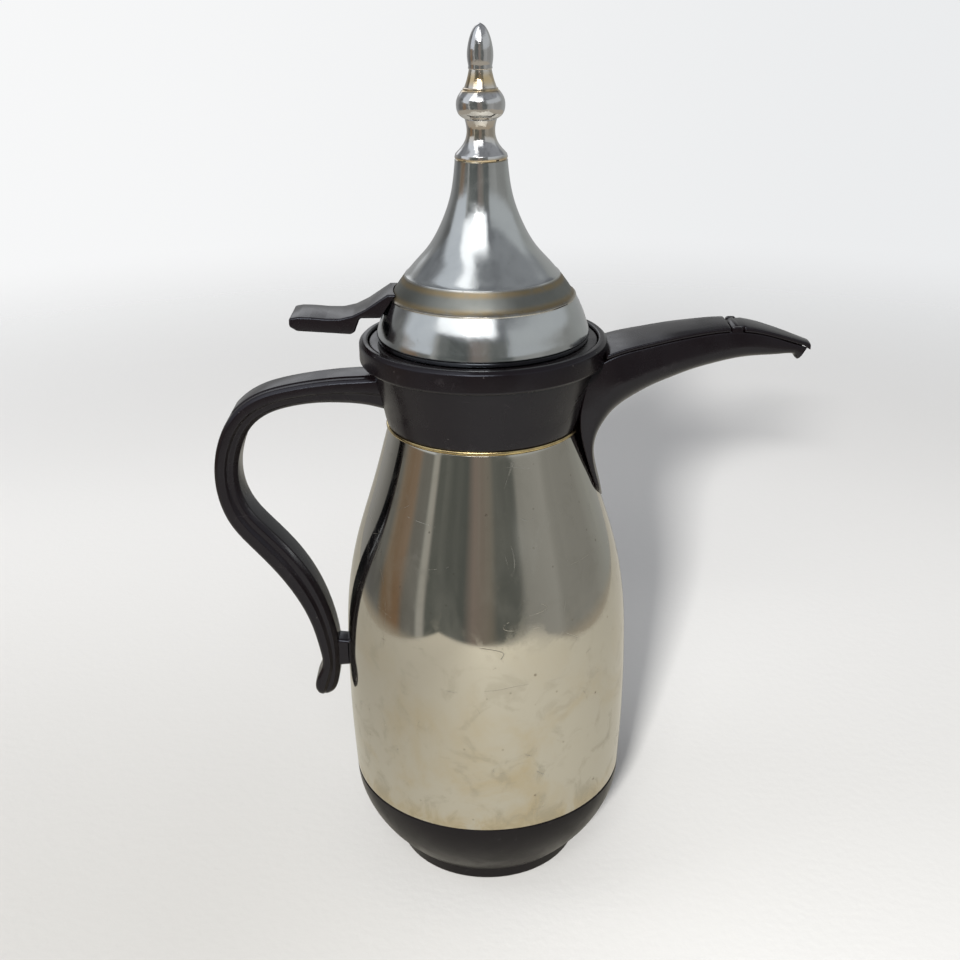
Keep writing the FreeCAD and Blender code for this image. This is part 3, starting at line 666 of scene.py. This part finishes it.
def trough_ring(back, keel, width, depth):
    """Closed section from rim to rim round the keel, then back through the channel."""
    down = Vector((keel[0] - back[0], keel[1] - back[1]))
    reach = down.length
    down.normalize()
    bottom = KEEL_SHARE * reach
    edge = 0.4 if reach > 3 else 0.1 * reach
    outer = [(width - 0.35, 0.0), (width - 0.1, 0.12), (width, edge)]
    for k in range(KEEL_STEPS + 1):
        a = math.pi * k / KEEL_STEPS
        y = width * math.copysign(abs(math.cos(a)) ** SIDE_POWER, math.cos(a))
        v = reach - bottom + bottom * abs(math.sin(a)) ** KEEL_POWER
        outer.append((y, v))
    outer += [(-width, edge), (-width + 0.1, 0.12), (-width + 0.35, 0.0)]
    wall = 1.9 if width > 8 else 1.15 + 0.08 * width
    inner_w = max(0.4, width - wall)
    depth = min(depth, reach - 1.2) if reach > 2 else 0.1
    flat, bevel = 0.35 * depth, 0.25 * min(1.0, depth)
    inner = [(-inner_w - 0.15, 0.0), (-inner_w, bevel)]
    for k in range(CHANNEL_STEPS + 1):
        a = math.pi * k / CHANNEL_STEPS
        inner.append((-inner_w * math.copysign(abs(math.cos(a)) ** CHANNEL_POWER, math.cos(a)),
                      flat + (depth - flat) * abs(math.sin(a))))
    inner += [(inner_w, bevel), (inner_w + 0.15, 0.0)]
    return [(back[0] + down.x * v, y, back[1] + down.y * v) for y, v in outer + inner]


def spout_shape():
    return skin([trough_ring((a, b), (c, d), max(w, 0.8), max(e, 0.1))
                 for a, b, c, d, w, e in spline(SPOUT, 170)])


# x, height, half width along the top of the spout's cover and flap.
TOP = [(38, 224.4, 15.6), (46, 226.8, 15.0), (53, 229.0, 14.0), (63, 231.2, 12.8),
       (73, 233.2, 11.6), (83, 234.7, 10.2), (94, 235.7, 9.0), (104, 234.9, 7.8),
       (114, 232.2, 6.2), (128, 227.2, 3.6)]
TOP_LINE = spline(TOP, 400)


def top_at(x):
    """(height, half width) of the spout's top at x."""
    for a, b in zip(TOP_LINE, TOP_LINE[1:]):
        if a[0] <= x <= b[0]:
            t = (x - a[0]) / (b[0] - a[0])
            return a[1] + t * (b[1] - a[1]), a[2] + t * (b[2] - a[2])
    return TOP_LINE[-1][1:]


CROWN = 0.35          # rise of the strip's middle over its edges
END_ROUND = 0.6       # length over which the strip's ends are rounded


def lid_ring(x, top, width, thick):
    """Cross-section of the cover or flap: a slightly crowned strip with rounded edges."""
    points = fillet([
        (-width * 0.55, top - CROWN * 0.25), (0.0, top), (width * 0.55, top - CROWN * 0.25),
        (width, top - CROWN - 0.1, 0.55), (width - 0.05, top - thick, 0.25), (0.0, top - thick),
        (-width + 0.05, top - thick, 0.25), (-width, top - CROWN - 0.1, 0.55)], 4)
    return [(x, y, z) for y, z in points]


def strip(stations, thick_of):
    """Loft along the spout's top, its two ends rounded over."""
    rings = []
    first, last = stations[0], stations[-1]
    for x in stations:
        top, width = top_at(x)
        nearest = min(abs(x - first), abs(x - last))
        dip = 0.5 * (1 - math.sqrt(1 - (1 - min(1.0, nearest / END_ROUND)) ** 2))
        rings.append(lid_ring(x, top - dip, width - dip * 0.5, thick_of(x) - dip))
    return skin(rings)


def ends(low, high, count):
    """Stations from low to high, close together at both ends."""
    near = [0.0, 0.06, 0.15, 0.3, END_ROUND]
    run = high - low - 2 * END_ROUND
    middle = [low + END_ROUND + run * i / count for i in range(1, count)]
    return [low + d for d in near] + middle + [high - d for d in near[::-1]]


# The two ears that hold the flap's pin.
ear = fillet([(95.4, 227.5), (99.6, 227.5), (99.6, 233.3, 2.0), (99.5, 235.5, 2.1),
              (95.5, 235.5, 2.1), (95.4, 233.3, 2.0)], 6)
ears = [slab(ear, low, high, 0.35) for low, high in ((6.4, 8.4), (-8.4, -6.4))]
piece("spout_body.look", together(spout_shape(), *ears), "spout_body", "pot",
      plastic, sharp=48)
COVER_T = 1.85
piece("spout_cover.look", strip(ends(47.0, 94.8, 36), lambda x: COVER_T), "spout_cover", "pot",
      plastic, sharp=48)


LIP_X, LIP_RUN, LIP_H = 125.0, 1.2, 0.75


def flap_thickness(x):
    """The flap thickens into a lip at its tip."""
    return COVER_T + LIP_H * max(0.0, min(1.0, (x - LIP_X) / LIP_RUN))


knuckle = rod_y(*FLAP_PIVOT, 2.3, -6.1, 6.1, 0.4)
bridge = slab(fillet([(97.5, 233.5), (101.4, 233.5), (101.4, 235.35, 0.3), (97.5, 235.4)]),
              -6.1, 6.1, 0.3)
flap = together(strip(ends(100.4, 127.3, 26), flap_thickness), knuckle, bridge)
piece("spout_flap.look", flap, "spout_flap", "flap", plastic, sharp=48)

# ---- lid: flange ring, dome, finial
flange = fillet([
    (10.0, 224.1, 0.3), (44.6, 224.1, 0.4), (44.6, 230.3, 0.9), (40.6, 230.3, 0.5),
    (40.4, 229.7, 0.2), (38.4, 229.7, 0.2), (38.4, 232.4, 0.3), (36.8, 232.4, 0.3),
    (36.8, 226.6, 0.4), (10.0, 226.6, 0.3)])
piece("stopper_flange.look", lathe(flange), "stopper_flange", "lid", plastic)

bowl, band, cone = spline(BOWL, 36), spline(BAND, 10), spline(CONE, 48)
outer = fillet(
    [(39.2, 229.9), (40.0, 229.75)] + bowl[1:]
    + [(35.95, 247.9, 0.3), (35.3, 248.35, 0.25)] + band[1:-1]
    + [(30.1, 255.3, 0.25), (29.55, 256.1, 0.3), (29.0, 256.5)] + cone[1:]
    + [(9.9, 298.3)], 4, closed=False)
inner = ([(8.6, 298.3)] + wider(cone[::-1], -1.4, -0.4) + wider(band[::-1], -DOME_WALL)
         + wider(bowl[:0:-1], -DOME_WALL) + [(38.5, 229.9)])
slot = slab([(-50.0, 239.4), (-26.0, 239.4), (-26.0, 248.6), (-50.0, 248.6)], -6.2, 6.2, 0.5)
piece("lid_dome.look", lathe(outer + inner, 224), "lid_dome", "lid", dome_chrome,
      cutters=[slot])

bell = spline([(9.45, 300.7), (7.9, 302.3), (6.1, 304.9), (5.3, 307.7), (5.35, 310.2),
               (5.9, 312.7)], 22)
ball = spline([(5.9, 312.9), (8.0, 314.4), (9.0, 317.5), (8.55, 320.4), (6.9, 322.9)], 26)
neck = spline([(5.95, 323.9), (4.9, 326.9), (4.15, 330.2)], 10)
bud = spline([(4.2, 330.7), (4.75, 334.6), (4.3, 339.0), (3.1, 342.8), (1.3, 345.3),
              (0.0, 346.0)], 26)
finial = fillet(
    [(3.0, 298.2), (9.4, 298.2, 0.3), (9.9, 299.3, 0.5), (9.6, 300.5, 0.3)] + bell[1:]
    + [(5.75, 312.75, 0.1)] + ball + [(6.5, 323.0, 0.15), (6.45, 323.7, 0.2)] + neck
    + [(4.45, 330.5, 0.1)] + bud[1:-1], 4, closed=False)
finial += [(0.0, 346.0), (0.0, 288.4), (3.0, 288.4)]      # the tip, and the stud inside the dome
piece("finial.look", lathe(finial, 128), "finial", "lid", finial_chrome,
      sharp=40)

# ---- thumb lever
lever_side = fillet([
    (-73.9, 241.2, 1.1), (-70.5, 241.75, 3.0), (-66.0, 241.6, 6.0), (-60.0, 241.0, 8.0),
    (-54.5, 240.9, 8.0), (-49.5, 242.0, 6.0), (-44.5, 244.4, 6.0), (-36.0, 250.0),
    (-30.0, 250.0), (-30.0, 240.9), (-46.8, 240.9, 1.4), (-48.9, 235.6, 1.8),
    (-50.6, 234.7, 1.1), (-71.0, 236.2, 1.8), (-73.9, 238.0, 1.4)], 6)
LEVER_TRAVEL = 9.0      # degrees
LEVER_HALF_W = 10.0
LEVER_ROOM = 0.5        # gap between lever and dome


def dome_room(turn_deg):
    """The dome's filled shape, grown by the gap, turned back by the lever's angle."""
    outline = wider(bowl + band + cone, LEVER_ROOM)
    verts, faces = lathe([(0.0, 229.0)] + outline + [(0.0, 298.4)], 160)
    angle = math.radians(turn_deg)
    c, s = math.cos(angle), math.sin(angle)
    moved = []
    for x, y, z in verts:
        dx, dz = x - PIVOT[0], z - PIVOT[1]
        moved.append((PIVOT[0] + c * dx + s * dz, y, PIVOT[1] - s * dx + c * dz))
    return moved, faces


# The pad keeps clear of the dome all through its travel.
piece("thumb_lever.look", slab(lever_side, -LEVER_HALF_W, LEVER_HALF_W, 0.9, 5), "thumb_lever",
      "lever", plastic, sharp=44,
      cutters=[dome_room(0.0), dome_room(LEVER_TRAVEL / 2), dome_room(LEVER_TRAVEL)])
bar = fillet([(-45.0, 241.4, 0.4), (-45.0, 244.0, 0.4), (-38.5, 246.8, 1.0), (-30.5, 246.5, 1.0),
              (-30.5, 241.0, 0.4)])
prong = fillet([(-30.5, 241.8, 0.4), (-30.5, 245.2, 0.4), (0.0, 244.6, 0.5), (1.6, 243.5, 0.8),
                (0.0, 242.2, 0.5)])
inner_lever = together(
    slab(bar, -5.0, 5.0, 0.5), rod_y(*PIVOT, 3.2, -6.3, 6.3, 0.4),
    *[slab(prong, low, high, 0.5) for low, high in ((3.4, 5.8), (-5.8, -3.4))])
arm = mesh_object("thumb_lever.arm", inner_lever, 44)
arm.data.materials.append(plastic)
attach(arm, "lever")

# ---------------------------------------------------------------- CAD pieces that stay as they are
KEPT = {
    "bottom_cap": base_plastic, "liner_cushion": rubber, "glass_liner_outer": silver,
    "glass_liner_inner": silver, "neck_gasket": rubber, "spout_gasket": rubber,
    "spout_screws": screw_metal, "flap_pin": screw_metal, "handle_screws": screw_metal,
    "stopper_body": inner_plastic, "stopper_seal": rubber, "lid_screws": screw_metal,
    "finial_nut": screw_metal, "lever_bracket": inner_plastic, "lever_pin": screw_metal,
    "valve_stem": inner_plastic, "valve_seal": rubber, "valve_spring": screw_metal,
}
for name, material in KEPT.items():
    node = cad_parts[name]
    if not node.material_slots:
        node.data.materials.append(None)
    for held in node.material_slots:
        held.link = "OBJECT"
        held.material = material

# ---------------------------------------------------------------- floor
FLOOR_R, FLOOR_Z, FLOOR_SIDES = 2.7, -0.0002, 96
floor_material, tree, paper, place = fresh("Floor")
paper.inputs["Roughness"].default_value = 0.75
soft = noise(tree, place, 3.0, 3.0)
fine = noise(tree, place, 240.0, 4.0)
spot = add(tree, "ShaderNodeSeparateXYZ", {"Vector": place})
across, away = spot.outputs["X"], spot.outputs["Y"]
rays = add(tree, "ShaderNodeLightPath")
# Painted shade: the paper is painted darker towards the front, most of all on the left.
colour = tint(tree, soft, (0.85, 0.85, 0.845), (0.88, 0.88, 0.875))
near = tint(tree, span(tree, across, -0.14, 0.12), (0.55, 0.545, 0.53), (0.76, 0.76, 0.75))
colour = tint(tree, span(tree, away, 0.40, -0.12), colour, near)
colour = tint(tree, times(tree, fine, 0.10), colour, (0.72, 0.71, 0.69))
bump(tree, paper, fine, 0.0001)
# Painted reflection: the steel mirrors the paper painted duller and warmer, and only as far as its
# front and side edges.
mirrored = tint(tree, span(tree, across, 0.02, -0.24), (0.54, 0.515, 0.445), (0.37, 0.35, 0.30))
colour = tint(tree, times(tree, rays.outputs["Is Glossy Ray"], 0.9), colour, mirrored)
tree.links.new(colour, paper.inputs["Base Color"])
radius = add(tree, "ShaderNodeVectorMath", {0: place}, operation="LENGTH").outputs["Value"]
far = span(tree, radius, 0.50, 1.30)
sides = span(tree, calc(tree, "ABSOLUTE", across), 0.36, 0.40)
edge = times(tree, most(tree, span(tree, away, -0.50, -0.56), sides), rays.outputs["Is Glossy Ray"])
clear = add(tree, "ShaderNodeBsdfTransparent")
blend = add(tree, "ShaderNodeMixShader", {
    "Fac": most(tree, far, edge), 1: paper.outputs[0], 2: clear.outputs[0]})
tree.links.new(blend.outputs[0], tree.nodes["Material Output"].inputs["Surface"])

disc = [(x, y, FLOOR_Z) for x, y in circle(0.0, 0.0, FLOOR_R, FLOOR_SIDES)]
wedges = [(k, (k + 1) % FLOOR_SIDES, FLOOR_SIDES) for k in range(FLOOR_SIDES)]
floor_mesh = bpy.data.meshes.new("Floor")
floor_mesh.from_pydata(disc + [(0.0, 0.0, FLOOR_Z)], [], wedges)
floor_mesh.materials.append(floor_material)
floor = bpy.data.objects.new("Floor", floor_mesh)
scene.collection.objects.link(floor)

# ---------------------------------------------------------------- studio: what the metal reflects
world = bpy.data.worlds.new("Studio")
scene.world = world
world.use_nodes = True
tree = world.node_tree
tree.nodes.clear()
way = add(tree, "ShaderNodeTexCoord").outputs["Generated"]
split = add(tree, "ShaderNodeSeparateXYZ", {"Vector": way})
high = split.outputs["Z"]
# Turn runs from 0 at the back through 0.5 at the front to 1; left of the pot is below 0.5.
turn = calc(tree, "ARCTAN2", split.outputs["X"], times(tree, split.outputs["Y"], -1.0))
turn = calc(tree, "MULTIPLY_ADD", turn, 0.5 / math.pi, 0.5)


def ramp(tree, value, stops):
    """Stops are (degrees from the front, colour)."""
    made = add(tree, "ShaderNodeValToRGB", {"Fac": value})
    elements = made.color_ramp.elements
    while len(elements) > 1:
        elements.remove(elements[-1])
    for i, (degrees, colour) in enumerate(stops):
        at = degrees / 360.0 + 0.5
        element = elements[0] if i == 0 else elements.new(at)
        element.position = at
        element.color = (*colour, 1.0)
    return made.outputs["Color"]


walls = ramp(tree, turn, [
    (-180, (0.42, 0.42, 0.42)), (-134, (0.30, 0.30, 0.30)), (-116, (0.15, 0.15, 0.15)),
    (-99, (0.13, 0.13, 0.125)), (-93, (0.21, 0.15, 0.10)), (-76, (0.23, 0.15, 0.095)),
    (-70, (0.16, 0.155, 0.145)), (-59, (0.19, 0.19, 0.18)), (-56, (0.42, 0.42, 0.40)),
    (-52, (0.40, 0.39, 0.37)), (-49, (0.118, 0.126, 0.120)), (-18, (0.108, 0.116, 0.112)),
    (-10, (0.25, 0.21, 0.19)), (4, (0.21, 0.19, 0.165)), (10, (0.125, 0.132, 0.126)),
    (29, (0.120, 0.128, 0.124)), (33, (0.30, 0.30, 0.29)), (60, (0.36, 0.36, 0.35)),
    (66, (0.29, 0.29, 0.28)), (104, (0.28, 0.28, 0.27)), (126, (0.34, 0.35, 0.34)),
    (180, (0.42, 0.42, 0.42)),
])
patches = noise(tree, way, 2.3, 4.0, 0.6, warp=0.4)
walls = tint(tree, span(tree, patches, 0.42, 0.68, 0.0, 0.22), walls, (0.40, 0.40, 0.38))
cloudy = span(tree, noise(tree, way, 1.9, 3.0), 0.35, 0.65)
ceiling = tint(tree, cloudy, (0.29, 0.30, 0.315), (0.165, 0.17, 0.18))


def panel(turns, heights):
    """1 on a soft-edged panel of the sky. Each pair of ends is (start, full, fade, end)."""
    return times(tree, between(tree, turn, *turns), between(tree, high, *heights))


left = between(tree, turn, 0.20, 0.24, 0.335, 0.355)
ceiling = tint(tree, left, ceiling, (0.66, 0.69, 0.73))
pane = panel((0.325, 0.350, 0.530, 0.560), (0.42, 0.48, 0.74, 0.92))
streak = panel((0.320, 0.340, 0.415, 0.435), (0.60, 0.70, 0.95, 0.985))
ceiling = tint(tree, most(tree, pane, streak), ceiling, (1.55, 1.57, 1.60))
# The left of the sky comes further down than the rest of it.
above = most(tree, span(tree, high, 0.34, 0.44), times(tree, left, span(tree, high, 0.10, 0.20)))
seen = tint(tree, above, walls, ceiling)
right = panel((0.565, 0.59, 0.80, 0.86), (0.12, 0.26, 0.48, 0.62))
seen = tint(tree, right, seen, (0.50, 0.52, 0.53))
back = panel((0.0, 0.014, 0.06, 0.12), (0.15, 0.28, 0.70, 0.85))
seen = tint(tree, back, seen, (1.20, 1.21, 1.24))
seen = tint(tree, span(tree, high, -0.26, -0.34), seen, (0.40, 0.36, 0.30))
rays = add(tree, "ShaderNodeLightPath")
mirror = add(tree, "ShaderNodeBackground", {"Color": seen, "Strength": 1.0})
fill = add(tree, "ShaderNodeBackground", {"Color": (0.96, 0.97, 1.0, 1.0), "Strength": 0.31})
# Painted shade: the backdrop the camera sees is painted darker towards the right.
backdrop = tint(tree, span(tree, split.outputs["X"], -0.40, 0.40), (0.93, 0.935, 0.94),
                (0.83, 0.84, 0.85))
behind = add(tree, "ShaderNodeBackground", {"Color": backdrop, "Strength": 1.0})
lit = add(tree, "ShaderNodeMixShader", {
    "Fac": rays.outputs["Is Glossy Ray"], 1: fill.outputs[0], 2: mirror.outputs[0]})
sky = add(tree, "ShaderNodeMixShader", {
    "Fac": rays.outputs["Is Camera Ray"], 1: lit.outputs[0], 2: behind.outputs[0]})
add(tree, "ShaderNodeOutputWorld", {"Surface": sky.outputs[0]})


def soft_light(name, spot, aim, size, power, colour, mirrored=True):
    """A rectangular lamp that the camera doesn't see. The metal sees it where mirrored is true."""
    lamp = bpy.data.lights.new(name, "AREA")
    lamp.shape = "RECTANGLE"
    lamp.size, lamp.size_y = size
    lamp.energy = power
    lamp.color = colour
    obj = bpy.data.objects.new(name, lamp)
    obj.location = spot
    obj.rotation_euler = (Vector(aim) - Vector(spot)).to_track_quat("-Z", "Y").to_euler()
    obj.visible_glossy = mirrored
    obj.visible_camera = False
    scene.collection.objects.link(obj)


soft_light("Front", (-0.60, -2.55, 1.32), (0.05, 0.1, 0.12), (0.30, 0.24), 136.0,
           (1.0, 0.98, 0.95), mirrored=False)
soft_light("Above", (-0.12, -0.80, 0.86), (0.0, 0.0, 0.24), (0.42, 0.24), 2.6, (1.0, 0.99, 0.97))
soft_light("Left", (-1.2, -0.2, 1.1), (0.0, 0.0, 0.15), (0.8, 0.8), 4.0, (0.97, 0.98, 1.0),
           mirrored=False)

# ---------------------------------------------------------------- camera
# It stands in front of the pot and looks down at it. Angles are radians.
PITCH, ROLL, YAW = 0.395834, -0.0119253, -0.0038547
CAMERA_SPOT = (0.0, -0.48085, 0.37084)
lens = bpy.data.cameras.new("Camera")
lens.sensor_width = 36.0
lens.lens = 47.863875
lens.clip_start = 0.01
camera = bpy.data.objects.new("Camera", lens)
turned = (Matrix.Rotation(-YAW, 4, "Z") @ Matrix.Rotation(math.pi / 2 - PITCH, 4, "X")
          @ Matrix.Rotation(ROLL, 4, "Z"))
camera.matrix_world = Matrix.Translation(CAMERA_SPOT) @ turned
scene.collection.objects.link(camera)
scene.camera = camera
scene.view_settings.view_transform = "Standard"
scene.view_settings.look = "None"
